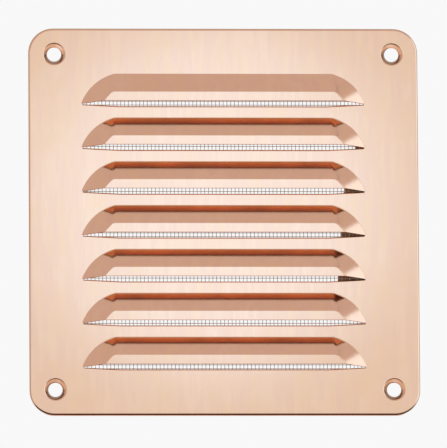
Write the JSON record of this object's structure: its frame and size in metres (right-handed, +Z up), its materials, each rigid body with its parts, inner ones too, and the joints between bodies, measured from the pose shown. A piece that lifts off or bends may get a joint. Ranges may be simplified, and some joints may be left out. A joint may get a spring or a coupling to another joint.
{
  "type": "louvre vent",
  "caption": "Square pressed copper louvre vent with hooded slits, a fly mesh bonded behind them and dimpled screw holes in its corners.",
  "frame": {"origin": "centre of the wall face: midway between the four screw holes, on the plane of the rim's end face", "axes": "+Z up, +X to the right as seen from the front, -Y out of the wall towards the viewer"},
  "size_m": [0.15, 0.0071, 0.15],
  "materials": {
    "copper_sheet": "satin, fine brushed copper",
    "mesh_wire": "dark drawn wire",
    "bond_bead": "semi-matt dark brown cured sealant"
  },
  "bodies": {
    "root": {"louvre_plate": "copper_sheet", "mesh_warp_wires": "mesh_wire", "mesh_weft_wires": "mesh_wire", "mesh_bond": "bond_bead"}
  },
  "joints": []
}
